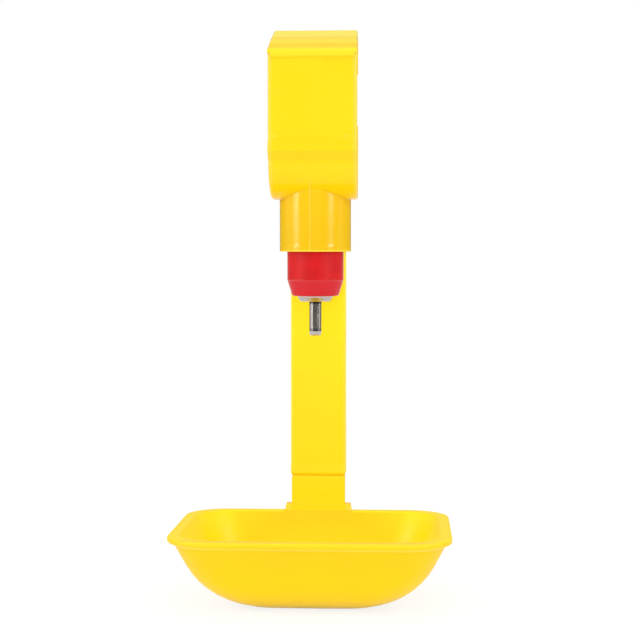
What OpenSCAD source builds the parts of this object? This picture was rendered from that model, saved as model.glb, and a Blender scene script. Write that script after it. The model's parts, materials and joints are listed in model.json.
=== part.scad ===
// Poultry drinking cup: a clip for a round water pipe with a nipple valve under it,
// an arm that hangs from the clip, and a catch cup at the arm's lower end.
// X runs along the pipe, +Y is the back, Z is up, and the pipe's axis is the origin.
// All sizes are in millimetres.

/* [Pipe and rail] */
// Outer diameter of the water pipe
pipe_d = 25; // [22:0.5:28]
// Height of the space for the support rail above the pipe, at its front
rail_h = 10.9; // [10:0.1:16]
// Front to back size of the rail space
rail_depth = 27.4; // [25:0.2:32]

/* [Clip] */
// Width of the clip along the pipe
clip_w = 25.2; // [21:0.2:34]
// Wall of the cradle under the pipe
cradle_wall = 1.5; // [1.2:0.1:2.2]
// Wall of the front panel
panel_wall = 1.8; // [1.2:0.1:2.6]
// Wall over the rail
top_wall = 1.9; // [1.4:0.1:3]
// Space between the pipe and the front panel
panel_play = 0.7; // [0.4:0.1:1.5]
// Gap between the pipe and the rail's ledge
ledge_gap = 0.9; // [0.5:0.1:2]
// Thickness of the ledge that carries the rail
ledge_t = 1.9; // [1.4:0.1:3]
// How far the ledge stands in from the panel
ledge_w = 2.2; // [1:0.1:4]
// Radius of the bead along the top front edge
brow_r = 1.6; // [1:0.05:2.2]
// How far that bead stands in front of the panel
brow_out = 1; // [0.4:0.1:1.4]
// How far the roof climbs from the bead to its knee
roof_rise = 2.9; // [0:0.1:5]
// How far it climbs on from there to its ridge
ridge_rise = 3.7; // [0:0.1:5]
// How far it falls from the ridge to the back
rear_fall = 1; // [0:0.1:3]
// How far the panel's foot swells in front of the panel
foot_swell = 0.35; // [0:0.05:0.8]
// Height at which that swelling starts above the pipe's axis
foot_h = 1.8; // [0.5:0.1:4]
// Depth of the crease between the foot and the cradle below the pipe's axis
crease_drop = 3.2; // [2:0.1:5]
// How far the rear lip hangs down behind the rail
rear_lip = 9.6; // [6:0.2:13]
// Angle that the cradle climbs behind the pipe
cradle_climb = 22; // [8:1:30]
// Radius of the cradle's belly in front of the socket
belly_r = 10.4; // [8.5:0.1:13]
// How far each side of the clip draws in from its front to its back
clip_draw = 0.8; // [0.2:0.1:1.2]
// Radius of the clip's outer edges
edge_r = 0.7; // [0.4:0.1:1.2]

/* [Nipple socket] */
// Outer diameter of the socket
socket_d = 20.6; // [19:0.1:25]
// Wall of the socket
socket_wall = 2.1; // [1.6:0.1:3]
// Length of the socket below the cradle
socket_len = 15; // [12:0.5:20]
// Depth of the socket's bore
socket_bore = 10.6; // [9:0.1:12]

/* [Nipple housing] */
// Length of housing that shows below the socket, down to its crease
housing_show = 8.2; // [7:0.1:14]
// Height of the tapered nose
nose_h = 4.6; // [3:0.1:6]
// Diameter of the nose's end
nose_d = 13.6; // [12.6:0.1:14.6]

/* [Steel valve] */
// Outer diameter of the steel sleeve
sleeve_d = 10.1; // [9.8:0.1:10.9]
// Length of sleeve that shows below the housing
sleeve_show = 1.6; // [1.2:0.1:4]
// Wall of the sleeve
sleeve_wall = 1.15; // [0.9:0.05:1.3]
// Diameter of the trigger pin
pin_d = 3.5; // [3:0.1:4]
// Length of trigger pin that shows below the sleeve
pin_show = 9.9; // [6:0.2:16]
// Angle that the trigger tilts to each side
tilt_max = 6; // [3:0.5:7]
// Height that the valve stem lifts
lift_max = 1; // [0.6:0.1:1.2]
// Diameter of the valve stem's rod
stem_d = 2.6; // [2:0.1:3]

/* [Arm] */
// Width of the arm
arm_w = 16.4; // [14:0.1:19]
// Distance from the pipe's axis back to the arm's front face
arm_reach = 14.2; // [13.8:0.1:20]
// Thickness of the arm's front web
arm_web = 2; // [1.6:0.1:3]
// Thickness of the arm's side flanges
arm_flange = 1.8; // [1.4:0.1:2.6]
// Depth of the arm's channel section
arm_depth = 4.6; // [4.4:0.1:7]
// Length of the arm from the clip's pocket to the cup's upstand
arm_len = 66.9; // [50:0.1:120]
// Thickness of the pocket's walls
pocket_wall = 1.5; // [1.2:0.1:2.4]
// Depth of the pocket that takes the arm's upper tongue
pocket_len = 17.5; // [14:0.5:18]
// Length of the joint at the arm's lower end
joint_len = 14; // [10:0.5:20]

/* [Cup] */
// Width of the rim
cup_w = 78.3; // [70:0.1:100]
// Front to back size of the rim
cup_l = 59; // [52:1:75]
// Height of the cup from its base to its rim
cup_h = 21.5; // [18:0.1:30]
// Wall of the cup
cup_wall = 1.6; // [1.2:0.1:2.2]
// How far the lip stands out round the rim
lip_w = 1.7; // [1.4:0.1:4]
// Height of the lip's outer edge
lip_t = 1.5; // [0.9:0.1:2]
// Radius of the rim's corners, seen from above
corner_r = 12; // [11:0.5:14]
// How much smaller that radius is at the base
corner_fall = 5.6; // [1:0.1:7]
// How far each side of the rim draws in towards the back
side_draw = 0.3; // [0:0.1:4]
// How far the front of the rim bows out
front_bow = 0.5; // [0:0.1:1.5]
// Slope of the walls from the vertical
wall_slope = 26.8; // [20:0.2:32]
// Width of the flat base
base_w = 25.8; // [24:0.1:30]
// Front to back size of the flat base
base_l = 26; // [24:1:28]
// Distance from the rim's front edge back to the flat base
base_setback = 20.7; // [16:0.1:22]
// Height of the upstand between the rim and the arm
upstand_h = 10.7; // [8:0.1:16]
// Width of the upstand
upstand_w = 15.9; // [13.6:0.1:18]
// Width over the two ears at the upstand's foot
ear_span = 20.4; // [17:0.1:24]
// Height of the ears
ear_h = 2.1; // [1:0.1:3]

/* [Fits] */
// Radial play between pressed or pushed round pieces
round_fit = 0.05; // [0.03:0.01:0.1]
// Play between flat faces that slide together
flat_fit = 0.2; // [0.1:0.05:0.3]
// Radial play of the valve stem in its guide
guide_play = 0.1; // [0.05:0.01:0.1]
// Gap between a shoulder and its seat
seat_gap = 0.1; // [0.05:0.05:0.3]

/* [Hidden] */
$fn = 96;

YELLOW = [1.0, 0.84, 0.06];
RED = [0.80, 0.07, 0.08];
STEEL = [0.72, 0.70, 0.67];
BLACK = [0.06, 0.06, 0.06];
WHITE = [0.90, 0.90, 0.88];

eps = 0.01;

// Clip
pipe_r = pipe_d / 2;
cradle_r = pipe_r + cradle_wall;
panel_in = -(pipe_r + panel_play);
panel_out = panel_in - panel_wall;
rail_floor = pipe_r + ledge_gap + ledge_t;
brow_top = rail_floor + rail_h + top_wall;
brow_c = [panel_out - brow_out + brow_r, brow_top - brow_r];
groove_r = 0.9;
groove_c = [panel_out - groove_r,
            brow_c[1] - sqrt(pow(brow_r + groove_r, 2) - pow(brow_c[0] - panel_out + groove_r, 2))];
foot_z = -0.9;
rear_in = panel_in + rail_depth;
rear_wall = panel_wall;
rear_out = rear_in + rear_wall;
rear_corner_r = 3;
knee_y = -8.2;
ridge_y = 2;
roof_slope = atan(roof_rise / (knee_y - brow_c[0]));
ridge_slope = atan(ridge_rise / (ridge_y - knee_y));
rear_slope = -atan(rear_fall / (rear_in - ridge_y));
roof_a = brow_c + (brow_r - eps) * [-sin(roof_slope), cos(roof_slope)];
knee = [knee_y, roof_a[1] + (knee_y - roof_a[0]) * tan(roof_slope)];
ridge = [ridge_y, knee[1] + ridge_rise];
rear_c = [rear_out - rear_corner_r,
          ridge[1] + (rear_out - rear_corner_r - ridge_y) * tan(rear_slope) - rear_corner_r / cos(rear_slope)];
lip_end = rear_c[1] + rear_corner_r - rear_lip;
rear_bead = 1.1;
front_climb = 14;
lip_flare = 2.6;
crease = -cradle_r * [sqrt(1 - pow(crease_drop / cradle_r, 2)), crease_drop / cradle_r];
belly_c = [crease[0] + sqrt(pow(belly_r, 2) - pow(belly_r - cradle_r - crease[1], 2)), belly_r - cradle_r];
side_turn = atan(clip_draw / (rear_out - panel_out));
far = 60;

// Socket
socket_r = socket_d / 2;
socket_end = -(cradle_r + socket_len);
bore_r = socket_r - socket_wall;
bore_top = socket_end + socket_bore;
port_r = 3.5;
gasket_r = 7;
gasket_floor = bore_top + 2.4;
gasket_sink = 0.05;

// Nipple housing
housing_r = bore_r - round_fit;
housing_top = bore_top - seat_gap;
crease_z = socket_end - housing_show;
housing_end = crease_z - nose_h;
nose_r = nose_d / 2;
o_ring_r = 0.6;
groove_h = 2 * o_ring_r + 0.3;
groove_z = housing_top - 3.2;
sleeve_r = sleeve_d / 2;
sleeve_bore_r = sleeve_r + round_fit;
throat_r = 3.3;
inlet_r = 4.6;
inlet_depth = 5.6;
throat_z = housing_top - inlet_depth - 2.2;

// Sleeve, seat and moving pieces, from the bottom up
sleeve_end = housing_end - sleeve_show;
sleeve_top = throat_z - seat_gap;
chamber_r = sleeve_r - sleeve_wall;
pivot_z = sleeve_end + 6.3;
pin_r = pin_d / 2;
mouth_r = pin_r / cos(tilt_max) + (pivot_z - sleeve_end) * sin(tilt_max) + 0.2;
ball_r = chamber_r - 0.3;
seat_lean = 30;
contact_gap = 0.06;
cone_r = (ball_r + contact_gap) * cos(seat_lean);
cone_z = pivot_z - (ball_r + contact_gap) * sin(seat_lean);
head_top = pivot_z + 0.8;
pin_end = sleeve_end - pin_show;
seat_ring_top = sleeve_top - 1.4;
seat_ring_h = 3;
stem_r = stem_d / 2;
guide_r = stem_r + guide_play;
seal_r = 2.85;
seal_bore_r = stem_r + 0.45;
seal_h = 0.85;
seal_top = seat_ring_top - 0.3;
stem_head_r = 2.6;
stem_foot = head_top + 0.25;
stem_cone_z = seal_top - 0.35;
stem_head_z = stem_cone_z + (stem_head_r - stem_r);
stem_top = stem_head_z + 3;
cap_t = 1.8;
cap_stop_z = stem_top + lift_max + 0.2;

// Arm
tongue_w = arm_w - 2 * arm_flange - 2 * flat_fit;
arm_back = arm_reach + arm_depth;
shoulder_z = socket_end - seat_gap;
arm_end = shoulder_z - arm_len;
upper_t = 3;
pocket_top = socket_end + pocket_len;
pocket_front = arm_reach - flat_fit - pocket_wall;
pocket_back = arm_reach + upper_t + flat_fit + pocket_wall;
pocket_half = tongue_w / 2 + flat_fit + pocket_wall;
window_w = 6;
window_h = 3.4;
latch_out = 0.9;
window_drop = 4;
collar_swell = 0.3;
collar_h = 2.6;
bevel = 0.5;
joint_wall = 1.5;

// Cup
rim_z = arm_end - seat_gap - upstand_h;
base_z = rim_z - cup_h;
lip_rise = lip_w * tan(27);
body_top = rim_z - lip_t - lip_rise;
cup_back = arm_reach + cup_wall / cos(wall_slope) + lip_w;
cup_front = cup_back - cup_l;
rim_r = 0.3;
upstand_t = arm_depth;
lower_t = arm_depth - arm_web - flat_fit * 2;

// A point t of the way from a to b
function mix(a, b, t) = a + (b - a) * t;

// A quarter or other arc of n steps round centre c
function arc(c, r, from, to, n) = [for (i = [0:n]) c + r * [cos(mix(from, to, i / n)), sin(mix(from, to, i / n))]];

// Carries a flat outline in Y and Z to a solid of width w that runs along X
module along_pipe(w) {
    rotate([90, 0, 90]) linear_extrude(height = w, center = true) children();
}

// A round bar along X
module x_bar(r, w) {
    rotate([0, 90, 0]) cylinder(r = r, h = w, center = true);
}

// A solid of revolution about the nipple's axis, from an outline of [radius, z] points
module turned(outline) {
    rotate_extrude() polygon(outline);
}

// What a fillet of radius r takes off a square edge of length len that runs along Z
module edge_cutter(r, len) {
    difference() {
        translate([-r, -r, -len / 2]) cube([r + 1, r + 1, len]);
        translate([-r, -r, -len / 2 - 1]) cylinder(r = r, h = len + 2);
    }
}

// Clip: the outline that runs along the pipe
module cradle_outline() {
    difference() {
        union() {
            circle(r = cradle_r);
            // The belly stands fuller in front, and is flat from there to the lowest point
            translate(belly_c) circle(r = belly_r);
            translate([belly_c[0], eps - cradle_r]) square([-belly_c[0], cradle_wall]);
        }
        polygon([[0, 0], far * [cos(cradle_climb), sin(cradle_climb)], [far, far], [-far, far], [-far, 0]]);
    }
    // The rear lip flares out, to lead the pipe in
    ray = [cos(cradle_climb), sin(cradle_climb)];
    flare = lip_flare * [cos(cradle_climb + 55), sin(cradle_climb + 55)];
    polygon([pipe_r * ray, pipe_r * ray + flare, cradle_r * ray + flare, cradle_r * ray,
             (pipe_r + cradle_wall / 2) * [cos(cradle_climb - 4), sin(cradle_climb - 4)]]);
    translate((pipe_r + cradle_wall / 2) * ray + flare) circle(r = cradle_wall * 0.4);
}

module panel_outline() {
    // Front panel, with its swelling foot and the crease above the cradle
    polygon(concat(
        [brow_c],
        arc(groove_c, groove_r, atan2(brow_c[1] - groove_c[1], brow_c[0] - groove_c[0]), 0, 5),
        [[panel_out, foot_h], [panel_out - foot_swell * 0.8, foot_z + 0.9], [panel_out - foot_swell, foot_z + 0.4],
         [panel_out - foot_swell * 0.7, foot_z], crease * (1 - 0.05 / cradle_r),
         [-pipe_r + 1, -crease_drop], [-pipe_r * cos(front_climb), pipe_r * sin(front_climb)],
         [panel_in, pipe_r * sin(front_climb) + 1.6], [panel_in, brow_c[1]]]
    ));
    // Bead along the top front edge
    translate(brow_c) circle(r = brow_r);
    // Ledge that carries the rail
    polygon([
        [panel_in - eps, rail_floor - ledge_t - ledge_w * 0.6], [panel_in - eps, rail_floor],
        [panel_in + ledge_w, rail_floor], [panel_in + ledge_w, rail_floor - ledge_t]
    ]);
}

module top_outline() {
    // The roof climbs to a knee and on to its ridge, and falls a little to its round rear corner
    polygon(concat(
        [brow_c, roof_a, knee, ridge],
        arc(rear_c, rear_corner_r, 90 + rear_slope, 0, 8),
        [[rear_out, lip_end], [rear_in, lip_end]],
        arc(rear_c, rear_corner_r - rear_wall, 0, 90 + rear_slope, 6),
        [ridge - [0, top_wall], knee - [0, top_wall * 1.1], [panel_in + 0.6, brow_c[1]], [panel_in, brow_c[1] - 1]]
    ));
    // Bead that holds the rail in
    translate([rear_out - rear_bead, lip_end]) circle(r = rear_bead);
}

// What rounds the roof's edge between two points of its outline
module roof_edge(a, b) {
    slope = atan2(b[1] - a[1], b[0] - a[0]);
    translate([clip_w / 2, (a[0] + b[0]) / 2, (a[1] + b[1]) / 2]) rotate([slope, 0, 0])
        rotate([90, 0, 0]) edge_cutter(edge_r, norm(b - a) + 0.6);
}

// What rounds the edge of a disc of radius r about the point c of the outline
module disc_edge(c, r) {
    translate([0, c[0], c[1]]) rotate([0, 90, 0]) rotate_extrude() difference() {
        translate([r - edge_r, clip_w / 2 - edge_r]) square(edge_r + 1);
        translate([r - edge_r, clip_w / 2 - edge_r]) circle(r = edge_r, $fn = 48);
    }
}

// What is taken off the clip's sides, which draw in towards the back, and off their edges
module clip_edges() {
    roof_end = [rear_out, ridge[1] + (rear_out - ridge_y) * tan(rear_slope)];
    for (side = [-1, 1]) scale([side, 1, 1])
        translate([clip_w / 2, panel_out, 0]) rotate(side_turn) translate([-clip_w / 2, -panel_out, 0]) {
            translate([clip_w / 2, -far, -far]) cube(2 * far);
            // Front panel
            translate([clip_w / 2, panel_out, (foot_h + brow_c[1]) / 2])
                mirror([0, 1, 0]) edge_cutter(edge_r, brow_c[1] - foot_h);
            // The roof's three slopes
            for (slope = [[roof_a, knee], [knee, ridge], [ridge, roof_end]]) roof_edge(slope[0], slope[1]);
            // Belly from just under the crease, the flat behind it and the cradle up to the lip
            intersection() {
                disc_edge(belly_c, belly_r);
                translate([0, -far, -far]) cube([clip_w, far + belly_c[0], far - crease_drop - 0.2]);
            }
            translate([clip_w / 2, belly_c[0] / 2, -cradle_r])
                mirror([0, 0, 1]) rotate([90, 0, 0]) edge_cutter(edge_r, 0.6 - belly_c[0]);
            intersection() {
                disc_edge([0, 0], cradle_r);
                translate([0, 0, -far]) cube([clip_w, far, far]);
            }
        }
}

// Clip with the nipple socket and the arm's pocket, one moulding
module clip_saddle() color(YELLOW) {
    difference() {
        union() {
            difference() {
                along_pipe(clip_w) {
                    cradle_outline();
                    panel_outline();
                    top_outline();
                }
                clip_edges();
            }
            translate([0, 0, socket_end]) cylinder(r = socket_r, h = -socket_end - 4);
            arm_pocket();
        }
        // Seat of the pipe
        x_bar(pipe_r, clip_w + 2);
        // Nipple bore with its lead-in, water port and gasket recess
        translate([0, 0, socket_end - 1]) cylinder(r = bore_r, h = socket_bore + 1);
        translate([0, 0, socket_end - eps]) cylinder(r1 = bore_r + 0.5, r2 = bore_r, h = 0.5);
        translate([0, 0, bore_top - 1]) cylinder(r = port_r, h = cradle_r);
        translate([0, 0, gasket_floor]) cylinder(r = gasket_r + round_fit, h = cradle_r);
    }
}

// Pocket behind the socket for the arm's upper tongue, with a window for the tongue's latch
module arm_pocket() {
    difference() {
        union() {
            translate([-pocket_half, pocket_front, socket_end])
                cube([2 * pocket_half, pocket_back - pocket_front, pocket_len + pocket_wall]);
            // Two ribs tie the pocket to the socket and the cradle
            for (side = [-1, 1]) scale([side, 1, 1])
                translate([pocket_half - 2 * pocket_wall, 5, socket_end])
                    cube([2 * pocket_wall, pocket_front - 5 + eps, pocket_len + pocket_wall]);
        }
        translate([-tongue_w / 2 - flat_fit, arm_reach - flat_fit, socket_end - 1])
            cube([tongue_w + 2 * flat_fit, upper_t + 2 * flat_fit, pocket_len + 1]);
        translate([-window_w / 2, arm_reach + upper_t, pocket_top - window_drop - window_h])
            cube([window_w, pocket_wall * 3, window_h]);
        // Clears the nipple and the pipe
        translate([0, 0, socket_end - 1]) cylinder(r = socket_r - socket_wall / 2, h = -socket_end);
    }
}

// Gasket between the pipe's drilled hole and the socket
module pipe_gasket() color(BLACK) {
    difference() {
        translate([0, 0, gasket_floor]) cylinder(r = gasket_r, h = cradle_r);
        x_bar(pipe_r + gasket_sink, 4 * gasket_r);
        translate([-2 * gasket_r, -2 * gasket_r, 0]) cube([4 * gasket_r, 4 * gasket_r, cradle_r]);
        translate([0, 0, gasket_floor - 1]) cylinder(r = port_r, h = cradle_r);
    }
}

// A wedge that snaps into a window, with its square face towards +Z or -Z
module latch(at_y, top_z, up) {
    translate([0, at_y, top_z]) scale([1, 1, up ? 1 : -1])
        rotate([90, 0, 90]) linear_extrude(height = window_w - 2 * flat_fit, center = true)
            polygon([[-eps, 0], [latch_out, -window_h + 2 * flat_fit], [-eps, -window_h + 2 * flat_fit]]);
}

// Arm: a channel that is open at the back, with a tongue above and a closed joint below
module arm() color(YELLOW) {
    difference() {
        union() {
            translate([0, 0, arm_end]) linear_extrude(height = arm_len) arm_section();
            // Collar that swells towards the joint with the cup
            along_pipe(arm_w) polygon([
                [arm_reach, arm_end + collar_h + bevel], [arm_reach - collar_swell, arm_end + bevel + 0.6],
                [arm_reach - collar_swell, arm_end + bevel], [arm_reach + 0.4, arm_end], [arm_reach + 1, arm_end],
                [arm_reach + 1, arm_end + collar_h + bevel]
            ]);
            // Shoulder and tongue
            translate([-arm_w / 2 + eps, arm_reach + 0.5, shoulder_z - arm_web])
                cube([arm_w - 2 * eps, arm_depth - 0.5, arm_web]);
            translate([-tongue_w / 2, arm_reach, shoulder_z - 1])
                cube([tongue_w, upper_t, pocket_len - seat_gap]);
            latch(arm_reach + upper_t, pocket_top - window_drop - flat_fit, true);
            // Back wall of the lower joint
            translate([-arm_w / 2, arm_back, arm_end])
                cube([arm_w, joint_wall, joint_len + 1]);
            translate([-arm_w / 2, arm_back - 1, arm_end]) cube([arm_flange, 1 + joint_wall, joint_len + 1]);
            translate([arm_w / 2 - arm_flange, arm_back - 1, arm_end])
                cube([arm_flange, 1 + joint_wall, joint_len + 1]);
        }
        // Window for the cup's latch
        translate([-window_w / 2, arm_back - 0.1, arm_end + joint_len - window_drop - window_h])
            cube([window_w, joint_wall + 1, window_h]);
        // Bevels at the foot of the sides make the notches of the joint
        for (side = [-1, 1]) scale([side, 1, 1])
            translate([arm_w / 2, 0, arm_end]) rotate([0, 45, 0])
                translate([-bevel * 0.7, arm_reach - 2, -bevel * 0.7]) cube([bevel * 1.4, arm_depth + 6, bevel * 1.4]);
    }
}

// Cross section of the arm, seen from above, with rounded front edges
module arm_section() {
    r = 0.8;
    difference() {
        union() {
            translate([-arm_w / 2, arm_reach + r]) square([arm_w, arm_depth - r]);
            translate([-arm_w / 2 + r, arm_reach]) square([arm_w - 2 * r, arm_depth]);
            for (side = [-1, 1]) translate([side * (arm_w / 2 - r), arm_reach + r]) circle(r = r, $fn = 48);
        }
        translate([-arm_w / 2 + arm_flange, arm_reach + arm_web])
            square([arm_w - 2 * arm_flange, arm_depth]);
    }
}

// Cup: one ring of points round the plan, drawn in from the body's top outline by in_side, in_front and in_back
half_front = cup_w / 2;
half_back = half_front - side_draw;
arc_steps = 9;
front_steps = 9;
side_steps = 4;
function edge_steps(c) = c % 2 == 1 ? front_steps : side_steps;
function cup_ring(in_side, in_front, in_back, r, z) =
    let (
        hf = half_front - in_side, hb = half_back - in_side * half_back / half_front,
        yf = cup_front + in_front, yb = cup_back - in_back,
        centres = [[hf - r, yf + r], [hb - r, yb - r], [r - hb, yb - r], [r - hf, yf + r]],
        arcs = [for (c = [0:3]) arc(centres[c], r, 90 * c - 90, 90 * c, arc_steps)],
        loop = [for (c = [0:3]) each concat(
            arcs[c],
            let (n = edge_steps(c), a = arcs[c][arc_steps], b = arcs[(c + 1) % 4][0])
                [for (j = [1:n]) mix(a, b, j / (n + 1))]
        )],
        mid = (yf + yb) / 2
    )
    [for (p = loop) [p[0], p[1] - front_bow * (1 - pow(p[0] / hf, 2)) * max(0, (mid - p[1]) / (mid - yf)), z]];

// Height and draw of a wall: straight at wall_slope, then one arc down to the flat base.
// The pairs are the share of the draw and the depth below the wall's top.
wall_steps = 9;
function wall_curve(draw, depth) =
    let (r = (draw - depth * tan(wall_slope)) / (cos(wall_slope) - tan(wall_slope) * (1 - sin(wall_slope))))
    concat([[0, 0]], [for (i = [0:wall_steps])
        let (a = (90 - wall_slope) * (1 - i / wall_steps)) [(draw - r * sin(a)) / draw, depth - r * (1 - cos(a))]]);

wall_in = cup_wall / cos(wall_slope);
draw_side = half_front - lip_w - base_w / 2;
draw_front = base_setback - lip_w;
draw_back = cup_l - base_setback - base_l - lip_w;
body_curve = wall_curve(draw_side, body_top - base_z);
hollow_curve = wall_curve(draw_side - wall_in, rim_z - base_z - cup_wall);

// A ring at share f of the draw, set in by inset from the rim's outline
function body_ring(f, inset, less, z) =
    cup_ring(inset + f * (draw_side - less), inset + f * (draw_front - less), inset + f * (draw_back - less),
             corner_r - inset * 0.3 - f * corner_fall, z);

cup_rings = concat(
    [for (i = [len(body_curve) - 1:-1:0]) body_ring(body_curve[i][0], lip_w, 0, body_top - body_curve[i][1])],
    [for (p = [[rim_r, -lip_t - rim_r * 0.5], [0, -lip_t + rim_r * 0.6], [0, -rim_r], [rim_r, 0],
               [lip_w * 0.75, 0], [lip_w + wall_in - rim_r, 0]])
        body_ring(0, p[0], 0, rim_z + p[1])],
    [for (i = [0:len(hollow_curve) - 1])
        body_ring(hollow_curve[i][0], lip_w + wall_in, wall_in, rim_z - hollow_curve[i][1] - (i == 0 ? rim_r : 0))]
);

module cup_shell() {
    n = len(cup_rings[0]);
    last = len(cup_rings) - 1;
    polyhedron(
        points = [for (ring = cup_rings) each ring],
        faces = concat(
            [[for (i = [0:n - 1]) i]],
            [[for (i = [n - 1:-1:0]) last * n + i]],
            [for (k = [0:last - 1], i = [0:n - 1]) let (j = (i + 1) % n) each
                [[k * n + i, (k + 1) * n + i, (k + 1) * n + j], [k * n + i, (k + 1) * n + j, k * n + j]]]
        )
    );
}

// Cup with the upstand and tongue that take the arm, one moulding
module cup() color(YELLOW) {
    foot_z = rim_z - 2.2;
    union() {
        cup_shell();
        difference() {
            translate([-upstand_w / 2, arm_reach + 0.1, foot_z])
                cube([upstand_w, upstand_t - 0.1, arm_end - seat_gap - foot_z]);
            // The upstand is a channel too, below its solid head
            translate([-upstand_w / 2 + arm_flange, arm_reach + arm_web + 0.1, foot_z - 1])
                cube([upstand_w - 2 * arm_flange, arm_depth, arm_end - seat_gap - foot_z - 2]);
            for (side = [-1, 1]) scale([side, 1, 1])
                translate([upstand_w / 2, 0, arm_end - seat_gap]) rotate([0, 45, 0])
                    translate([-bevel * 0.7, arm_reach - 1, -bevel * 0.7])
                        cube([bevel * 1.4, arm_depth + 3, bevel * 1.4]);
        }
        // Tongue up into the arm's joint
        translate([-tongue_w / 2, arm_back - flat_fit - lower_t, arm_end - seat_gap - 1])
            cube([tongue_w, lower_t, joint_len + 1 - seat_gap]);
        latch(arm_back - flat_fit, arm_end + joint_len - window_drop - window_h + flat_fit, false);
        // Ears
        translate([0, cup_back, rim_z]) rotate([90, 0, 0]) linear_extrude(height = cup_back - arm_reach)
            polygon([[-ear_span / 2, -0.6], [ear_span / 2, -0.6], [ear_span / 2 - 0.6, ear_h],
                     [-ear_span / 2 + 0.6, ear_h]]);
    }
}

// Red plastic housing that is pushed into the socket
module nipple_housing() color(RED) {
    turned([
        [inlet_r, housing_top], [housing_r - 0.6, housing_top], [housing_r, housing_top - 0.6],
        [housing_r, groove_z + groove_h / 2], [housing_r - 2 * o_ring_r - round_fit, groove_z + groove_h / 2],
        [housing_r - 2 * o_ring_r - round_fit, groove_z - groove_h / 2], [housing_r, groove_z - groove_h / 2],
        [housing_r, crease_z], [nose_r, housing_end + 0.3], [nose_r - 0.4, housing_end],
        [sleeve_bore_r + 0.3, housing_end], [sleeve_bore_r, housing_end + 0.3], [sleeve_bore_r, throat_z],
        [throat_r, throat_z], [throat_r, housing_top - inlet_depth], [inlet_r, housing_top - inlet_depth]
    ]);
}

module housing_o_ring() color(BLACK) {
    translate([0, 0, groove_z]) rotate_extrude()
        translate([housing_r - o_ring_r, 0]) circle(r = o_ring_r, $fn = 32);
}

// Perforated cap that keeps the stem in and stops its lift
module inlet_cap() color(WHITE) {
    difference() {
        turned([
            [0, housing_top - seat_gap], [inlet_r - round_fit - 0.3, housing_top - seat_gap],
            [inlet_r - round_fit, housing_top - seat_gap - 0.3], [inlet_r - round_fit, housing_top - cap_t],
            [1.2, housing_top - cap_t], [1.2, cap_stop_z], [0, cap_stop_z]
        ]);
        for (i = [0:5]) rotate(60 * i) translate([2.8, 0, housing_top - cap_t - 1]) cylinder(r = 0.8, h = 4, $fn = 32);
    }
}

// Steel sleeve with the trigger's cone seat and the mouth that shows
module valve_sleeve() color(STEEL) {
    turned([
        [chamber_r, sleeve_top], [sleeve_r - 0.3, sleeve_top], [sleeve_r, sleeve_top - 0.3],
        [sleeve_r, housing_end - sleeve_show * 0.3], [sleeve_r - 0.5, sleeve_end + 0.25],
        [sleeve_r - 0.75, sleeve_end], [mouth_r + 0.2, sleeve_end], [mouth_r, sleeve_end + 0.3],
        [mouth_r, cone_z - (cone_r - mouth_r) / tan(seat_lean)],
        [chamber_r, cone_z + (chamber_r - cone_r) / tan(seat_lean)]
    ]);
}

// Steel ring in the sleeve that guides the stem and carries its seal
module seat_ring() color(STEEL) {
    r = chamber_r - round_fit;
    turned([
        [seal_r + round_fit, seat_ring_top], [r, seat_ring_top], [r, seat_ring_top - seat_ring_h],
        [guide_r, seat_ring_top - seat_ring_h], [guide_r, seal_top - seal_h - round_fit],
        [seal_r + round_fit, seal_top - seal_h - round_fit]
    ]);
}

module seat_seal() color(BLACK) {
    turned([
        [seal_bore_r, seal_top - seal_h], [seal_r, seal_top - seal_h], [seal_r, seal_top],
        [seal_bore_r + 0.35, seal_top], [seal_bore_r, seal_top - 0.35]
    ]);
}

// Steel stem that closes the valve and stands over the trigger's head
module valve_stem() color(STEEL) {
    turned([
        [0, stem_foot], [stem_r - 0.5, stem_foot], [stem_r, stem_foot + 0.5], [stem_r, stem_cone_z],
        [stem_head_r, stem_head_z], [stem_head_r, stem_head_z + 0.9], [1.3, stem_head_z + 1.4], [1.3, stem_top],
        [0, stem_top]
    ]);
}

// Steel trigger pin that hangs in the sleeve by its round head
module trigger_pin() color(STEEL) {
    intersection() {
        translate([0, 0, pivot_z]) sphere(r = ball_r);
        translate([0, 0, pivot_z - ball_r]) cylinder(r = ball_r + 1, h = ball_r + head_top - pivot_z);
    }
    turned([
        [0, pin_end], [pin_r - 0.3, pin_end], [pin_r, pin_end + 0.3], [pin_r, pivot_z], [0, pivot_z]
    ]);
}

clip_saddle();
pipe_gasket();
arm();
cup();
nipple_housing();
housing_o_ring();
inlet_cap();
valve_sleeve();
seat_ring();
seat_seal();
valve_stem();
trigger_pin();
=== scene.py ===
"""Poultry drinking cup: the finishes of its pieces, and a white studio round it.

Lengths are in metres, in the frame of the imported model: X runs along the water pipe, +Y is the
back and Z is up. Heights and other places within a finish are in millimetres.
"""

import json
import math

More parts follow.
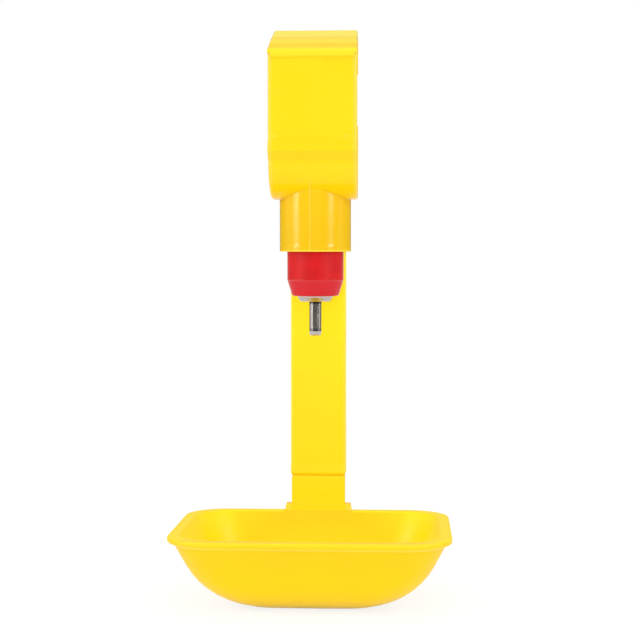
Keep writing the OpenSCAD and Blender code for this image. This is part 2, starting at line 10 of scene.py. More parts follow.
import bmesh
import bpy
from bpy.props import FloatProperty, FloatVectorProperty, PointerProperty
from bpy.types import Operator, Panel, PropertyGroup
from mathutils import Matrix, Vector

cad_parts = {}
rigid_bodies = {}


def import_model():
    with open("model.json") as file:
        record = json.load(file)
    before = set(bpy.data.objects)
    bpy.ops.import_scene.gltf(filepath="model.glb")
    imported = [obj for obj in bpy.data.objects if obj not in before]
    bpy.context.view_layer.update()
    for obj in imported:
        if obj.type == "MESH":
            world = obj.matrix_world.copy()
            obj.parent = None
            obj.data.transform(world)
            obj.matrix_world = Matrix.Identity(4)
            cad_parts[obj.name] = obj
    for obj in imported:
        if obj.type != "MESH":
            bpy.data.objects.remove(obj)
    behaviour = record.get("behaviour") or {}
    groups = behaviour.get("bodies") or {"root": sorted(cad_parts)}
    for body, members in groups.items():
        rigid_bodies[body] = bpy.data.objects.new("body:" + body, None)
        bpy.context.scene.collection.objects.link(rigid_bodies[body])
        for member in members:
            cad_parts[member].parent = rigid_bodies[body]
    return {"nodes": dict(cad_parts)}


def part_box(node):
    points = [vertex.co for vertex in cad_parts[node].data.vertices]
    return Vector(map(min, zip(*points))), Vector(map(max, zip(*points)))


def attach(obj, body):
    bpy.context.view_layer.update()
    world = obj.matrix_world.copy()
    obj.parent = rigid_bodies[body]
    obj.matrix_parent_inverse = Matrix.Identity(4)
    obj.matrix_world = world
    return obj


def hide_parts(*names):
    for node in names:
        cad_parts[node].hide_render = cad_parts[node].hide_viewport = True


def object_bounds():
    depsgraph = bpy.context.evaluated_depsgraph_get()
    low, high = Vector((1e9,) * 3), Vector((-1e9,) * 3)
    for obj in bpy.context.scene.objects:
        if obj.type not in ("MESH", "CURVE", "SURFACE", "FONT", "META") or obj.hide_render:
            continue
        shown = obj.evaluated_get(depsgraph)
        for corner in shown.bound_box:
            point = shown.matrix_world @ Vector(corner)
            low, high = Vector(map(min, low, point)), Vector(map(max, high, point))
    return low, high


bl_info = {
    "name": "Poultry drinking cup",
    "version": (1, 0, 0),
    "blender": (4, 5, 0),
    "location": "View3D > Sidebar > Drinker",
    "description": "Dresses a hanging poultry drinker and sets it in a white studio",
    "category": "Object",
}

# The objects that a new file starts with
for leftover in list(bpy.data.objects):
    bpy.data.objects.remove(leftover)

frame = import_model()
cad_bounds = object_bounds()
nodes = frame["nodes"]

MM = 0.001
WHITE = (1, 1, 1, 1)

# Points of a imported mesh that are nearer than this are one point
WELD_DISTANCE = 1e-6

# How widely the pale bloom of the moulded plastics spreads
BLOOM_SPREAD = 0.22


class Value:
    """A number socket of a node tree, with the operators that the finishes use."""

    def __init__(self, graph, socket):
        self.graph = graph
        self.socket = socket

    def maths(self, operation, first, second=0.0):
        return self.graph.number("ShaderNodeMath", {"operation": operation}, {0: first, 1: second})

    def __add__(self, other):
        return self.maths("ADD", self, other)

    __radd__ = __add__

    def __sub__(self, other):
        return self.maths("SUBTRACT", self, other)

    def __rsub__(self, other):
        return self.maths("SUBTRACT", other, self)

    def __mul__(self, other):
        return self.maths("MULTIPLY", self, other)

    __rmul__ = __mul__

    def __truediv__(self, other):
        return self.maths("DIVIDE", self, other)

    def __rtruediv__(self, other):
        return self.maths("DIVIDE", other, self)

    def __pow__(self, other):
        return self.maths("POWER", self, other)

    def __abs__(self):
        return self.maths("ABSOLUTE", self)

    def least(self, other):
        return self.maths("MINIMUM", self, other)

    def most(self, other):
        return self.maths("MAXIMUM", self, other)


class Graph:
    """The node tree of one material or world."""

    def __init__(self, owner):
        owner.use_nodes = True
        self.tree = owner.node_tree
        self.tree.nodes.clear()

    def node(self, kind, settings=None, inputs=None):
        made = self.tree.nodes.new(kind)
        for name, value in (settings or {}).items():
            setattr(made, name, value)
        for name, value in (inputs or {}).items():
            if isinstance(value, Value):
                value = value.socket
            if isinstance(value, bpy.types.NodeSocket):
                self.tree.links.new(value, made.inputs[name])
            elif value is not None:
                made.inputs[name].default_value = value
        return made

    def number(self, kind, settings=None, inputs=None, output=0):
        return Value(self, self.node(kind, settings, inputs).outputs[output])

    def vector(self):
        """The object's own coordinates, in metres."""
        return self.node("ShaderNodeTexCoord").outputs["Object"]

    def parts(self, vector):
        """The x, y and z of a vector."""
        split = self.node("ShaderNodeSeparateXYZ", inputs={0: vector})
        return [Value(self, output) for output in split.outputs]

    def place(self, vector):
        """The x, y and z, in millimetres, of a vector in metres."""
        return [part / MM for part in self.parts(vector)]

    def noise(self, vector, grain, detail=2.0, stretch=(1, 1, 1)):
        """Noise from 0 to 1, whose features are about grain metres long, divided by stretch."""
        scale = [share / grain for share in stretch]
        scaled = self.node("ShaderNodeMapping", inputs={"Vector": vector, "Scale": scale})
        inputs = {"Vector": scaled.outputs[0], "Scale": 1.0, "Detail": detail}
        return self.number("ShaderNodeTexNoise", inputs=inputs, output="Fac")

    def rise(self, value, start, end):
        """0 at start, 1 at end and smooth between them; start may be the larger one."""
        if start > end:
            return 1 - self.rise(value, end, start)
        inputs = {"Value": value, "From Min": start, "From Max": end}
        return self.number("ShaderNodeMapRange", {"interpolation_type": "SMOOTHSTEP"}, inputs)

    def mix(self, factor, first, second):
        """One colour where factor is 0 and another where it is 1; 6 and 7 are their sockets."""
        inputs = {"Factor": factor, 6: first, 7: second}
        return self.node("ShaderNodeMix", {"data_type": "RGBA"}, inputs).outputs[2]

    def bump(self, height, depth, normal=None):
        inputs = {"Height": height, "Distance": depth, "Normal": normal}
        return self.node("ShaderNodeBump", inputs=inputs).outputs[0]

    def soft_edges(self, radius):
        return self.node("ShaderNodeBevel", {"samples": 8}, {"Radius": radius}).outputs[0]

    def emission(self, strength):
        return self.node("ShaderNodeEmission", inputs={"Color": WHITE, "Strength": strength}).outputs[0]

    def seen(self):
        """1 for the rays that show the backdrop: the camera's, mirrored ones and those through glass."""
        path = self.node("ShaderNodeLightPath")
        kinds = ("Is Camera Ray", "Is Glossy Ray", "Is Transmission Ray")
        camera, glossy, transmission = [Value(self, path.outputs[kind]) for kind in kinds]
        return camera.most(glossy).most(transmission)

    def either(self, factor, first, second):
        """One shader where factor is 0 and another where it is 1."""
        return self.node("ShaderNodeMixShader", inputs={0: factor, 1: first, 2: second}).outputs[0]

    def end(self, shader, kind="ShaderNodeOutputMaterial"):
        self.node(kind, inputs={"Surface": shader})

    def surface(self, **inputs):
        """Ends the tree in a Principled shader; an underscore in a name stands for a space."""
        named = {name.replace("_", " "): value for name, value in inputs.items()}
        self.end(self.node("ShaderNodeBsdfPrincipled", inputs=named).outputs[0])


def shade(colour, share):
    """The colour with its red, green and blue multiplied by share, one number or three."""
    shares = share if isinstance(share, tuple) else (share,) * 3
    return (*[min(1.0, c * s) for c, s in zip(colour, shares)], 1.0)


def lowest(name):
    """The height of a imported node's lowest point, in millimetres."""
    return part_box(name)[0].z / MM


def new_material(name):
    material = bpy.data.materials.new(name)
    return material, Graph(material)


def dress(names, material):
    """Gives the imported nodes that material."""
    for name in names:
        nodes[name].material_slots[0].material = material


def add_object(name, data):
    piece = bpy.data.objects.new(name, data)
    bpy.context.scene.collection.objects.link(piece)
    return piece


def aim(piece, place, target):
    """Puts a lamp or a camera at a place and turns it to the target."""
    piece.location = place
    piece.rotation_mode = "QUATERNION"
    piece.rotation_quaternion = (target - place).to_track_quat("-Z", "Y")


def smooth_copy(name, crease):
    """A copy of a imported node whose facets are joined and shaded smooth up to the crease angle."""
    mesh = bpy.data.meshes.new(name + "_skin")
    work = bmesh.new()
    work.from_mesh(nodes[name].data)
    bmesh.ops.remove_doubles(work, verts=work.verts, dist=WELD_DISTANCE)
    for face in work.faces:
        face.smooth = True
    work.to_mesh(mesh)
    work.free()
    for attribute in ("custom_normal", "sharp_edge", "sharp_face"):
        if attribute in mesh.attributes:
            mesh.attributes.remove(mesh.attributes[attribute])
    mesh.set_sharp_from_angle(angle=crease)
    piece = add_object(name + "_skin", mesh)
    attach(piece, "drinker")
    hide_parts(name)
    return piece


def yellow_plastic(name, colour, look, roughness, finish):
    """Moulded yellow plastic with faint flow clouds, fine orange peel and soft edges.

    finish(graph, x, y, z, base) returns the base colour with the piece's own marks and its painted light
    and shade, and a height that is added to the orange peel, in multiples of its depth.
    """
    material, g = new_material(name)
    vector = g.vector()
    clouds = g.noise(vector, look.cloud_size, detail=3.0)
    grain = g.noise(vector, look.grain_size)
    deeper, paler = shade(colour, (0.985, 0.98, 0.85)), shade(colour, (1.0, 1.01, 1.15))
    base, relief = finish(g, *g.place(vector), g.mix(g.rise(clouds, 0.35, 0.7), deeper, paler))
    g.surface(
        Base_Color=base,
        Roughness=roughness + 0.06 * clouds,
        Normal=g.bump(grain + relief, look.grain_depth, g.soft_edges(look.edge_radius)),
        Specular_IOR_Level=look.gloss,
        Sheen_Weight=look.bloom,
        Sheen_Roughness=BLOOM_SPREAD,
    )
    return material


class PlasticLook(PropertyGroup):
    clip_yellow: FloatVectorProperty(
        name="Clip", description="Colour of the clip's plastic", subtype="COLOR",
        default=(0.99, 0.63, 0.003))
    arm_yellow: FloatVectorProperty(
        name="Arm", description="Colour of the arm's plastic", subtype="COLOR",
        default=(0.99, 0.67, 0.001))
    cup_yellow: FloatVectorProperty(
        name="Cup", description="Colour of the cup's plastic", subtype="COLOR",
        default=(0.99, 0.61, 0.001))
    housing_red: FloatVectorProperty(
        name="Housing", description="Colour of the nipple's housing", subtype="COLOR",
        default=(0.585, 0.004, 0.006))
    cap_white: FloatVectorProperty(
        name="Inlet cap", description="Colour of the cap inside the housing", subtype="COLOR",
        default=(0.8, 0.8, 0.78))
    rubber_black: FloatVectorProperty(
        name="Seals", description="Colour of the rubber seals", subtype="COLOR",
        default=(0.02, 0.02, 0.02))
    cloud_size: FloatProperty(
        name="Flow clouds", description="Length of the faint clouds in the plastic", unit="LENGTH",
        default=0.014)
    grain_size: FloatProperty(
        name="Orange peel", description="Length of the waves in the moulded skin", unit="LENGTH",
        default=0.0016)
    grain_depth: FloatProperty(
        name="Peel depth", description="Depth of those waves", unit="LENGTH", precision=6,
        default=0.000012)
    edge_radius: FloatProperty(
        name="Edge radius", description="Radius that softens the moulded edges", unit="LENGTH",
        default=0.0003)
    clip_roughness: FloatProperty(
        name="Clip roughness", description="Roughness of the clip's plastic", min=0, max=1,
        default=0.17)
    cup_roughness: FloatProperty(
        name="Cup roughness", description="Roughness of the arm's and the cup's plastic", min=0, max=1,
        default=0.42)
    gloss: FloatProperty(
        name="Gloss", description="Strength of the yellow plastic's reflections", min=0, max=1,
        default=0.22)
    bloom: FloatProperty(
        name="Bloom", description="Strength of the pale skin that shows at grazing angles", min=0,
        max=1, default=0.1)


class SteelLook(PropertyGroup):
    sleeve_grey: FloatVectorProperty(
        name="Sleeve", description="Colour of the turned sleeve and seat", subtype="COLOR",
        default=(0.59, 0.53, 0.51))
    pin_grey: FloatVectorProperty(
        name="Pin", description="Colour of the trigger pin and stem", subtype="COLOR",
        default=(0.54, 0.49, 0.45))
    sleeve_roughness: FloatProperty(
        name="Sleeve roughness", description="Roughness of the turned sleeve and seat", min=0, max=1,
        default=0.24)
    pin_roughness: FloatProperty(
        name="Pin roughness", description="Roughness of the trigger pin and stem", min=0, max=1,
        default=0.12)
    turning_pitch: FloatProperty(
        name="Turning marks", description="Distance between the turning marks", unit="LENGTH",
        precision=5, default=0.00012)
    polish_size: FloatProperty(
        name="Polish waves", description="Length of the waves in the steel", unit="LENGTH",
        precision=4, default=0.0012)
    polish_depth: FloatProperty(
        name="Polish depth", description="Depth of those waves", unit="LENGTH", precision=6,
        default=0.000006)
    edge_radius: FloatProperty(
        name="Edge radius", description="Radius that softens the steel edges", unit="LENGTH",
        default=0.0002)
    taper: FloatProperty(
        name="Pin's end", description="Length of the ground end of the trigger pin", unit="LENGTH",
        default=0.0013)


class StageLook(PropertyGroup):
    lens: FloatProperty(
        name="Lens", description="Focal length of the camera", unit="CAMERA", default=93.94)
    distance: FloatProperty(
        name="Distance", description="From the camera to the nipple's axis", unit="LENGTH",
        default=0.484)
    height: FloatProperty(
        name="Height", description="Height of the camera over the pipe's axis", unit="LENGTH",
        default=-0.0271)
    azimuth: FloatProperty(
        name="Azimuth", description="Turn of the camera round the nipple's axis", subtype="ANGLE",
        default=math.radians(3.35))
    aim_height: FloatProperty(
        name="Aim", description="Height of the middle of the picture, at the nipple's axis",
        unit="LENGTH", default=-0.04883)
    axis_shift: FloatProperty(
        name="Offset", description="How far the nipple's axis stands left of the picture's middle",
        unit="LENGTH", default=0.00133)
    sky: FloatProperty(
        name="Sky", description="Strength of the light from all round", min=0, default=0.92)
    front: FloatProperty(
        name="Front", description="Power of the large lamp in front", unit="POWER", default=1.1)
    low: FloatProperty(
        name="Low", description="Power of the low lamp in front", unit="POWER", default=0.2)
    rear: FloatProperty(
        name="Rear", description="Power of the lamp behind", unit="POWER", default=0.7)
    top: FloatProperty(
        name="Top", description="Power of the lamp above", unit="POWER", default=0.42)
    strip: FloatProperty(
        name="Strips", description="Power of each tall lamp at the sides", unit="POWER", default=1.3)
    gleam: FloatProperty(
        name="Gleam", description="Power of each lamp that shows only in reflections", unit="POWER",
        default=3.6)
    dark_grey: FloatProperty(
        name="Dark card", description="Brightness of the card that the steel reflects", min=0, max=1,
        default=0.07)
    rear_grey: FloatProperty(
        name="Rear card", description="Brightness of the card that shows at grazing angles", min=0,
        max=1, default=0.12)
    upper_grey: FloatProperty(
        name="Upper card", description="Brightness of the card that shows on the roof", min=0, max=1,
        default=0.35)


class DRINKER_OT_clip(Operator):
    """Finish the clip and its nipple socket, with a mould line and pale marks"""

    bl_idname = "drinker.clip"
    bl_label = "Clip"

    # Radius of the socket, height of the bead under the roof, and place of the mould line
    socket_r = 10.5
    bead_z = 27.3
    seam_x = -0.9
    # How far the painted shadow line stands right of the mould line
    shadow_shift = 0.3
    # How far the panel stands behind the foremost edge of the clip
    panel_setback = 1.0
    # Heights where each part of the finish starts and where it is full
    below_panel = (6.0, 2.0)
    socket_top = (-9.5, -13.0)
    socket_darker = (-12.0, -26.0)
    seam_top = (-8.0, -10.0)
    flare = (-26.6, -27.8)
    # The same along Y
    edge_highlight_front = (-4.0, -8.0)
    seam_front = (0.0, -2.0)
    sink_front = (-10.0, -12.0)
    # The same as distances from the middle of the bead, of the mould line and of its painted shadow line
    bead_half = (2.6, 1.2)
    seam_half = (0.24, 0.10)
    shadow_half = (0.22, 0.06)
    # What multiplies the red, green and blue of the plastic
    painted_shade_below_tint = (1.0, 0.965, 1.0)
    socket_painted_shade_tint = (0.79, 0.76, 0.8)
    lip_highlight_tint = (1.0, 1.15, 20.0)
    bead_highlight_tint = (1.0, 1.07, 4.5)
    edge_highlight_tint = (1.0, 0.99, 15.0)
    roof_painted_light_tint = (1.0, 1.29, 24.0)
    mark_tint = (1.0, 1.10, 20.0)
    seam_highlight_tint = (1.0, 1.1, 30.0)
    shadow_tint = (0.95, 0.66, 0.8)
    # Middle (x, z) of each pale mark on the panel, and half its width and height
    marks = (
        (-10.2, 15.6, 2.0, 0.55),
        (-10.8, 3.4, 1.6, 0.5),
        (9.3, 3.4, 1.5, 0.5),
        (-1.4, 15.2, 0.25, 1.5),
        (-1.4, 3.9, 0.25, 1.1),
    )
    # Length of the blotches in the marks, in metres
    mark_grain = 0.0011
    # Height of each slight sink that crosses the panel, and where it starts and is full
    sinks = ((6.8, 1.6, 0.4), (1.6, 1.2, 0.3))
    # Heights in the bump, in multiples of the orange peel's depth
    seam_rise = 3.0
    sink_rise = 1.5
    flare_rise = 6.0

    def execute(self, context):
        look = context.scene.drinker_plastic
        dress(["clip_saddle"], yellow_plastic(
            "clip_plastic_finish", look.clip_yellow, look, look.clip_roughness, self.finish))
        return {"FINISHED"}

    def finish(self, g, x, y, z, base):
        """Painted shade on the socket and below the panel, painted highlights on the socket's lip, the
        bead, the front edges and the roof, a mould line with a painted highlight and a painted shadow
        beside it, and pale marks.
        """
        colour = bpy.context.scene.drinker_plastic.clip_yellow
        low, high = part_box("clip_saddle")
        side_x, front_y, lip_z = high.x / MM, low.y / MM, low.z / MM
        panel_y = front_y + self.panel_setback

        from_axis = (x ** 2.0 + y ** 2.0) ** 0.5
        socket = g.rise(from_axis, self.socket_r + 0.4, self.socket_r) * g.rise(z, *self.socket_top)
        # Painted shade: the socket is painted darker, and more so lower down
        strength = 0.75 + 0.25 * g.rise(z, *self.socket_darker)
        # Painted highlight: a pale line along the socket's lower lip
        lip = g.rise(z, lip_z + 0.6, lip_z + 0.25) * socket
        # Painted shade: the clip is a little darker below the panel
        base = g.mix(g.rise(z, *self.below_panel), base, shade(colour, self.painted_shade_below_tint))
        base = g.mix(socket * strength, base, shade(colour, self.socket_painted_shade_tint))
        base = g.mix(lip * 0.6, base, shade(colour, self.lip_highlight_tint))

        # Painted highlight along the bead
        bead = g.rise(abs(z - self.bead_z), *self.bead_half) * g.rise(y, panel_y + 0.5, panel_y)
        # Painted highlight: pale strips along the clip's front side edges
        edges = g.rise(abs(x), side_x - 1.6, side_x - 0.6) * g.rise(z, self.bead_z, self.bead_z - 2.0)
        edges = edges * g.rise(y, *self.edge_highlight_front)
        # Painted light: the roof is paler, more so over its far part
        roof = g.rise(z, self.bead_z + 2.0, self.bead_z + 2.6)
        roof = roof * (0.45 + 0.55 * g.rise(z, self.bead_z + 4.6, self.bead_z + 5.4))
        base = g.mix(bead, base, shade(colour, self.bead_highlight_tint))
        base = g.mix(edges, base, shade(colour, self.edge_highlight_tint))
        base = g.mix(roof, base, shade(colour, self.roof_painted_light_tint))
        base = g.mix(self.pale_marks(g, x, y, z, panel_y) * 0.55, base, shade(colour, self.mark_tint))

        # The mould line is a real ridge in the bump; its pale colour is a painted highlight and the darker
        # line beside it a painted shadow
        low_front = g.rise(z, *self.seam_top) * g.rise(y, *self.seam_front)
        seam = g.rise(abs(x - self.seam_x), *self.seam_half) * low_front
        shadow = g.rise(abs(x - self.seam_x - self.shadow_shift), *self.shadow_half) * low_front
        base = g.mix(shadow * 0.5, base, shade(colour, self.shadow_tint))
        base = g.mix(seam * 0.32, base, shade(colour, self.seam_highlight_tint))

        upper, lower = [g.rise(abs(z - middle), *half) for middle, *half in self.sinks]
        sinks = (upper + lower) * g.rise(y, *self.sink_front)
        flare = g.rise(z, *self.flare) * socket
        return base, seam * self.seam_rise + sinks * self.sink_rise + flare * self.flare_rise

    def pale_marks(self, g, x, y, z, panel_y):
        """Blotchy smudges on the panel."""
        marks = 0.0
        for across, height, half_width, half_height in self.marks:
            reach = (((x - across) / half_width) ** 2.0 + ((z - height) / half_height) ** 2.0) ** 0.5
            marks = g.rise(reach, 1.0, 0.3) + marks
        blotches = g.rise(g.noise(g.vector(), self.mark_grain), 0.36, 0.58)
        return (marks * blotches * g.rise(y, panel_y + 1, panel_y + 0.5)).least(1.0)


class DRINKER_OT_arm(Operator):
    """Finish the arm"""

    bl_idname = "drinker.arm"
    bl_label = "Arm"

    # Where painted light makes the web lighter towards the nipple, in two steps that overlap
    lighter = (-80.0, -45.0)
    lightest = (-60.0, -40.0)
    # Where the painted highlights on the front edges start and are full: in from each side, and back from
    # the front
    edge_across = (0.9, 0.2)
    edge_behind = (1.6, 0.8)
    # What multiplies the red, green and blue of the plastic
    painted_light_tint = (1.0, 1.09, 1.0)
    painted_light_strong_tint = (1.0, 1.24, 1.0)
    edge_highlight_tint = (1.0, 1.08, 60.0)

    def execute(self, context):
        look = context.scene.drinker_plastic
        dress(["arm"], yellow_plastic(
            "arm_plastic_finish", look.arm_yellow, look, look.cup_roughness, self.finish))
        return {"FINISHED"}

    def finish(self, g, x, y, z, base):
        """Painted light makes the web lighter near the nipple, and painted highlights make its front edges
        pale.
        """
        colour = bpy.context.scene.drinker_plastic.arm_yellow
        low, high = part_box("arm")
        side_x, front_y = high.x / MM, low.y / MM
        base = g.mix(g.rise(z, *self.lighter), base, shade(colour, self.painted_light_tint))
        base = g.mix(g.rise(z, *self.lightest), base, shade(colour, self.painted_light_strong_tint))
        edges = g.rise(side_x - abs(x), *self.edge_across) * g.rise(y - front_y, *self.edge_behind)
        return g.mix(edges * 0.6, base, shade(colour, self.edge_highlight_tint)), 0.0


class DRINKER_OT_cup(Operator):
    """Smooth the catch cup and finish it"""

    bl_idname = "drinker.cup"
    bl_label = "Cup"

    crease = math.radians(32)
    # Heights of the rim over the base, and of the rolled lip
    rim_height = 21.5
    lip_height = 1.9
    # Where the front lip, the ears and the lower part start and are full: along Y, out from the
    # middle, and over the rim
    front = (-36.0, -39.0)
    ear_across = (8.1, 8.4)
    lower_part = (-6.0, -19.0)
    # How far a face turns up where the inside's painted light starts and is full, and where the lip's
    # painted highlight does
    inside_turn = (0.1, 0.3)
    lip_turn = (0.1, 0.02)
    # What multiplies the red, green and blue of the plastic
    inside_painted_light_tint = (1.0, 1.23, 0.8)
    upstand_tint = (1.0, 1.12, 0.8)
    lower_painted_light_tint = (1.0, 1.14, 0.8)
    front_lip_highlight_tint = (1.0, 1.08, 10.0)
    edge_highlight_tint = (1.0, 1.42, 90.0)
    ear_reflection_tint = (1.0, 1.15, 90.0)

    def execute(self, context):
        look = context.scene.drinker_plastic
        piece = smooth_copy("cup", self.crease)
        piece.data.materials.append(yellow_plastic(
            "cup_plastic_finish", look.cup_yellow, look, look.cup_roughness, self.finish))
        return {"FINISHED"}

    def finish(self, g, x, y, z, base):
        """Painted light makes the cup lighter inside and low down, it is lighter over the rim, and painted
        highlights and reflections make its front lip, its lip's edges and its ears pale.
        """
        colour = bpy.context.scene.drinker_plastic.cup_yellow
        over_rim = z - (lowest("cup") + self.rim_height)
        facing_up = g.parts(g.node("ShaderNodeNewGeometry").outputs["Normal"])[2]
        front_lip = g.rise(over_rim, -0.9, -0.5) * g.rise(y, *self.front)
        edges = g.rise(abs(over_rim + self.lip_height), 0.6, 0.2) * g.rise(facing_up, *self.lip_turn)
        ears = g.rise(abs(x), *self.ear_across) * g.rise(over_rim, 0.1, 0.3)
        # Painted light inside and low down, and painted highlights and reflections on the front lip, the
        # lip's edges and the ears
        for factor, tint in (
            (g.rise(facing_up, *self.inside_turn), self.inside_painted_light_tint),
            (g.rise(over_rim, 0.0, 0.3), self.upstand_tint),
            (g.rise(over_rim, *self.lower_part), self.lower_painted_light_tint),
            (front_lip, self.front_lip_highlight_tint),
            (edges * 0.5, self.edge_highlight_tint),
            (ears * 0.6, self.ear_reflection_tint),
        ):
            base = g.mix(factor, base, shade(colour, tint))
        return base, 0.0


class DRINKER_OT_housing(Operator):
    """Finish the nipple's red housing and the cap in it"""

    bl_idname = "drinker.housing"
    bl_label = "Nipple housing"

    # Height of the chamfer at the housing's lower end
    chamfer_height = 4.6
    # Sizes of the clouds, turned rings and speckle, in metres
    cloud_size = 0.006
    ring_pitch = 0.0006
    ring_depth = 0.00004
    speckle_size = 0.0008
    chamfer_tint = (1.02, 6.0, 6.0)

    def execute(self, context):
        look = context.scene.drinker_plastic
        dress(["nipple_housing"], self.turned_plastic(look))
        dress(["inlet_cap"], self.cap_plastic(look.cap_white))
        return {"FINISHED"}

    def turned_plastic(self, look):
        """Red plastic with turned rings, paler on the chamfer and glossy along its crease."""
        material, g = new_material("housing_plastic_finish")
        red = look.housing_red
        vector = g.vector()
        z = g.place(vector)[2]
        clouds = g.noise(vector, self.cloud_size)
        rings = g.noise(vector, self.ring_pitch, detail=1.0, stretch=(0.02, 0.02, 1.0))
        crease_z = lowest("nipple_housing") + self.chamfer_height
        chamfer = g.rise(z, crease_z + 0.1, crease_z - 0.1)
        glint = g.rise(abs(z - crease_z), 0.5, 0.1)
        base = g.mix(g.rise(clouds, 0.3, 0.7), shade(red, 0.92), shade(red, 1.1))
        g.surface(
            Base_Color=g.mix(chamfer * (0.3 + rings * 0.7), base, shade(red, self.chamfer_tint)),
            Roughness=0.46 + 0.08 * rings,
            Normal=g.bump(rings * (0.2 + chamfer), self.ring_depth, g.soft_edges(look.edge_radius)),
            Specular_IOR_Level=0.16,
            Coat_Weight=glint * 0.6,
            Coat_Roughness=0.10,
            Sheen_Weight=1.0,
            Sheen_Roughness=BLOOM_SPREAD,
        )
        return material

    def cap_plastic(self, white):
        material, g = new_material("cap_plastic_finish")
        speckle = g.noise(g.vector(), self.speckle_size)
        g.surface(
            Base_Color=g.mix(speckle, shade(white, 0.93), shade(white, 1.04)),
            Roughness=0.4 + 0.1 * speckle,
        )
        return material


class DRINKER_OT_seals(Operator):
    """Finish the gasket and the two seals"""

    bl_idname = "drinker.seals"
    bl_label = "Seals"

    # Length and depth of the grain, in metres
    grain = 0.0007
    depth = 0.00001

    def execute(self, context):
        black = context.scene.drinker_plastic.rubber_black
        material, g = new_material("seal_rubber_finish")
        bloom = g.noise(g.vector(), self.grain, detail=3.0)
        g.surface(
            Base_Color=g.mix(bloom, shade(black, 0.8), shade(black, 1.6)),
            Roughness=0.62 + 0.15 * bloom,
            Normal=g.bump(bloom, self.depth),
        )
        dress(["pipe_gasket", "housing_o_ring", "seat_seal"], material)
        return {"FINISHED"}


class DRINKER_OT_steel(Operator):
    """Finish the steel pieces of the valve with fine turning marks"""

    bl_idname = "drinker.steel"
    bl_label = "Steel valve"

    # How far the ring's edge leans out, in metres, and over which height
    ring_lean = 0.0006
    ring_height = 1.6
    # How far the pin's ground end leans in, for each metre of its length
    ground_slope = 0.2
    # Height of the band of painted dark reflection over the pin's tip, and the shade that is painted there
    # and under the ring
    band_height = 1.7
    painted_shade_level = 0.2
    # Over the ring's lower face: where the painted shadow starts and is full, and where the ring ends it
    shade_below_ring = (-0.75, -0.5)
    ring_face = (0.0, -0.05)
    # The band's half height, where it starts and where it is full
    band_half = (0.55, 0.2)

    def execute(self, context):
        look = context.scene.drinker_steel
        ring_z, tip_z = lowest("valve_sleeve"), lowest("trigger_pin")
        ring = (ring_z, ring_z + self.ring_height, self.ring_lean)
        ground_end = (tip_z, tip_z + look.taper / MM, look.taper * self.ground_slope)
        dress(["valve_sleeve", "seat_ring"], self.steel(
            "sleeve_steel_finish", look, look.sleeve_grey, look.sleeve_roughness, ring))
        dress(["valve_stem", "trigger_pin"], self.steel(
            "pin_steel_finish", look, look.pin_grey, look.pin_roughness, ground_end))
        return {"FINISHED"}

    def steel(self, name, look, colour, roughness, lean):
        """Turned steel whose surface leans, as lean says: from a height, up to a height, and how far."""
        material, g = new_material(name)
        vector = g.vector()
        z = g.place(vector)[2]
        lean_start, lean_end, lean_depth = lean
        turning = g.noise(vector, look.turning_pitch, detail=1.0, stretch=(0.03, 0.03, 1.0))
        waves = g.noise(vector, look.polish_size, detail=0.5, stretch=(1.0, 1.0, 0.4))
        height = turning * 0.06 + waves * 2.0
        height = height + g.rise(z, lean_start, lean_end) * (lean_depth / look.polish_depth)
        base = g.mix(turning, shade(colour, 0.94), shade(colour, 1.06))
        # The colour carries painted shade: a shadow under the ring and a dark reflection near the pin's tip
        g.surface(
            Base_Color=g.mix(self.painted_shade(g, z), base, shade(colour, self.painted_shade_level)),
            Roughness=roughness + 0.1 * waves + 0.03 * turning,
            Normal=g.bump(height, look.polish_depth, g.soft_edges(look.edge_radius)),
            Metallic=1.0,
        )
        return material

    def painted_shade(self, g, z):
        """A painted shadow right under the ring, and a painted dark reflection in a band near the pin's
        tip.
        """
        over_ring, over_tip = z - lowest("valve_sleeve"), z - lowest("trigger_pin")
        under_ring = g.rise(over_ring, *self.shade_below_ring) * g.rise(over_ring, *self.ring_face)
        band = g.rise(abs(over_tip - self.band_height), *self.band_half)
        return under_ring.most(band * 0.6)


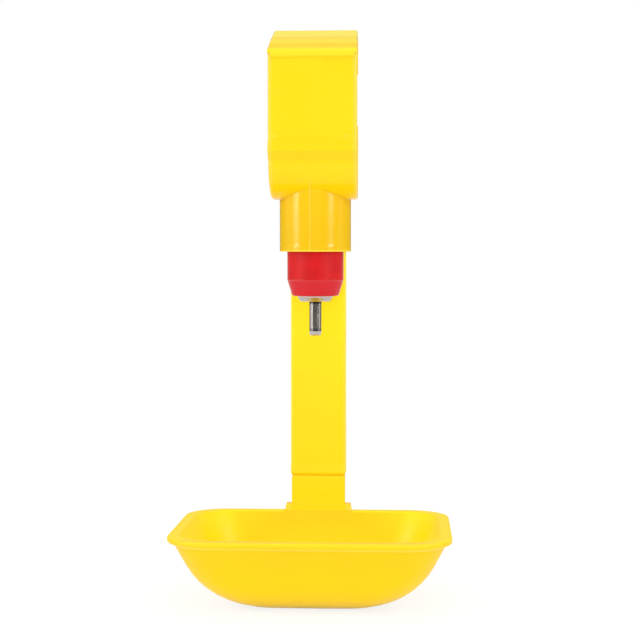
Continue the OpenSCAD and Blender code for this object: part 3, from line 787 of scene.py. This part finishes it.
class DRINKER_OT_stage(Operator):
    """Make the white floor, the light and the camera"""

    bl_idname = "drinker.stage"
    bl_label = "Studio"

    # Half the floor's width
    floor_reach = 6.0
    floor_white = (0.94, 0.94, 0.94, 1)
    # The floor's own light for the rays that show it, which leaves the object's shadow visible
    floor_glow = 1.04
    floor_glow_share = 0.8
    # Name, setting, distance, first and last azimuth in degrees, and lowest and highest point
    cards = (
        ("dark_card", "dark_grey", 0.7, -50, 80, -0.5, 0.5),
        ("rear_card", "rear_grey", 1.1, 102, 256, -0.7, 0.12),
        ("upper_card", "upper_grey", 1.1, 102, 256, 0.12, 1.4),
    )
    # Name, setting, width and height, place, target, and whether it shows in reflections
    lamps = (
        ("front_lamp", "front", (0.8, 0.8), (-0.10, -1.0, 0.02), (0, 0, -0.06), False),
        ("low_lamp", "low", (0.6, 0.1), (0, -0.7, -0.11), (0, 0, -0.11), False),
        ("rear_lamp", "rear", (0.8, 0.8), (0.15, 1.0, 0.10), (0, 0, -0.04), False),
        ("top_lamp", "top", (0.4, 0.4), (0.10, -0.25, 0.60), (0, 0, -0.03), True),
    )
    # Side, azimuth in degrees, and height of the gleam's lower end
    sides = (("left", -60, -0.012), ("right", 54, 0.008))
    strip_size = (0.12, 0.6)
    strip_distance = 0.8
    strip_height = 0.25
    strip_target = (0, 0, -0.03)
    gleam_size = (0.18, 0.5)
    gleam_distance = 0.66

    def execute(self, context):
        scene = context.scene
        look = scene.drinker_stage
        self.floor(cad_bounds[0].z)
        self.sky(scene, look.sky)
        for name, setting, reach, near, far, low, high in self.cards:
            self.card(name, getattr(look, setting), reach, math.radians(near), math.radians(far), low, high)
        for name, setting, size, place, target, mirrored in self.lamps:
            lamp = self.lamp(name, getattr(look, setting), size, Vector(place), Vector(target))
            lamp.visible_glossy = mirrored
        for side, turn, bottom in self.sides:
            outward = Vector((math.sin(math.radians(turn)), -math.cos(math.radians(turn)), 0))
            place = outward * self.strip_distance + Vector((0, 0, self.strip_height))
            target = Vector(self.strip_target)
            strip = self.lamp(side + "_strip", look.strip, self.strip_size, place, target)
            strip.visible_glossy = False
            level = Vector((0, 0, bottom + self.gleam_size[1] / 2))
            place = outward * self.gleam_distance + level
            gleam = self.lamp(side + "_gleam", look.gleam, self.gleam_size, place, level)
            gleam.visible_diffuse = False
        self.camera(scene, look)
        return {"FINISHED"}

    def floor(self, height):
        reach = self.floor_reach
        mesh = bpy.data.meshes.new("floor")
        corners = [(x * reach, y * reach, height) for x, y in ((-1, -1), (1, -1), (1, 1), (-1, 1))]
        mesh.from_pydata(corners, [], [(0, 1, 2, 3)])
        piece = add_object("floor", mesh)
        material, g = new_material("floor_white")
        paper = g.node("ShaderNodeBsdfDiffuse", inputs={"Color": self.floor_white}).outputs[0]
        g.end(g.either(g.seen() * self.floor_glow_share, paper, g.emission(self.floor_glow)))
        mesh.materials.append(material)

    def card(self, name, grey, reach, near, far, low, high):
        """A bent card round the object, from one azimuth to another, that shows only in reflections."""
        steps = 12
        mesh = bpy.data.meshes.new(name)
        turns = [near + (far - near) * i / steps for i in range(steps + 1)]
        corners = [(math.sin(t) * reach, -math.cos(t) * reach, z) for t in turns for z in (low, high)]
        mesh.from_pydata(corners, [], [(2 * i, 2 * i + 2, 2 * i + 3, 2 * i + 1) for i in range(steps)])
        piece = add_object(name, mesh)
        for kind in ("camera", "diffuse", "transmission", "shadow", "volume_scatter"):
            setattr(piece, "visible_" + kind, False)
        material, g = new_material(name)
        g.end(g.emission(grey))
        mesh.materials.append(material)

    def sky(self, scene, strength):
        """Light from all round, behind a backdrop that looks white."""
        scene.world = bpy.data.worlds.new("studio")
        g = Graph(scene.world)
        light, white = [
            g.node("ShaderNodeBackground", inputs={"Color": WHITE, "Strength": level}).outputs[0]
            for level in (strength, 1.0)
        ]
        g.end(g.either(g.seen(), light, white), "ShaderNodeOutputWorld")

    def lamp(self, name, power, size, place, target):
        light = bpy.data.lights.new(name, "AREA")
        light.energy = power
        light.shape = "RECTANGLE"
        light.size, light.size_y = size
        piece = add_object(name, light)
        aim(piece, place, target)
        return piece

    def camera(self, scene, look):
        """A camera at the photograph's place: almost level, and a little to the right."""
        lens = bpy.data.cameras.new("camera")
        lens.lens = look.lens
        lens.sensor_width = 36.0
        lens.clip_start = 0.01
        a = look.azimuth
        place = Vector((math.sin(a), -math.cos(a), 0)) * look.distance + Vector((0, 0, look.height))
        target = Vector((math.cos(a), math.sin(a), 0)) * look.axis_shift + Vector((0, 0, look.aim_height))
        scene.camera = add_object("camera", lens)
        aim(scene.camera, place, target)


class DRINKER_PT_panel(Panel):
    """The looks, and one button for each step"""

    bl_label = "Poultry drinking cup"
    bl_idname = "DRINKER_PT_panel"
    bl_space_type = "VIEW_3D"
    bl_region_type = "UI"
    bl_category = "Drinker"

    def draw(self, context):
        for group in GROUPS:
            box = self.layout.box()
            for name in GROUPS[group].__annotations__:
                box.prop(getattr(context.scene, group), name)
        for step in STEPS:
            self.layout.operator(step.bl_idname)


GROUPS = {"drinker_plastic": PlasticLook, "drinker_steel": SteelLook, "drinker_stage": StageLook}
STEPS = (
    DRINKER_OT_clip,
    DRINKER_OT_arm,
    DRINKER_OT_cup,
    DRINKER_OT_housing,
    DRINKER_OT_seals,
    DRINKER_OT_steel,
    DRINKER_OT_stage,
)
CLASSES = (*GROUPS.values(), *STEPS, DRINKER_PT_panel)


def register():
    for made in CLASSES:
        bpy.utils.register_class(made)
    for name, group in GROUPS.items():
        setattr(bpy.types.Scene, name, PointerProperty(type=group))


def unregister():
    for name in GROUPS:
        delattr(bpy.types.Scene, name)
    for made in reversed(CLASSES):
        bpy.utils.unregister_class(made)


def main():
    register()
    for step in STEPS:
        family, action = step.bl_idname.split(".")
        getattr(getattr(bpy.ops, family), action)()
    bpy.context.scene.view_settings.view_transform = "Standard"


if __name__ == "__main__":
    main()
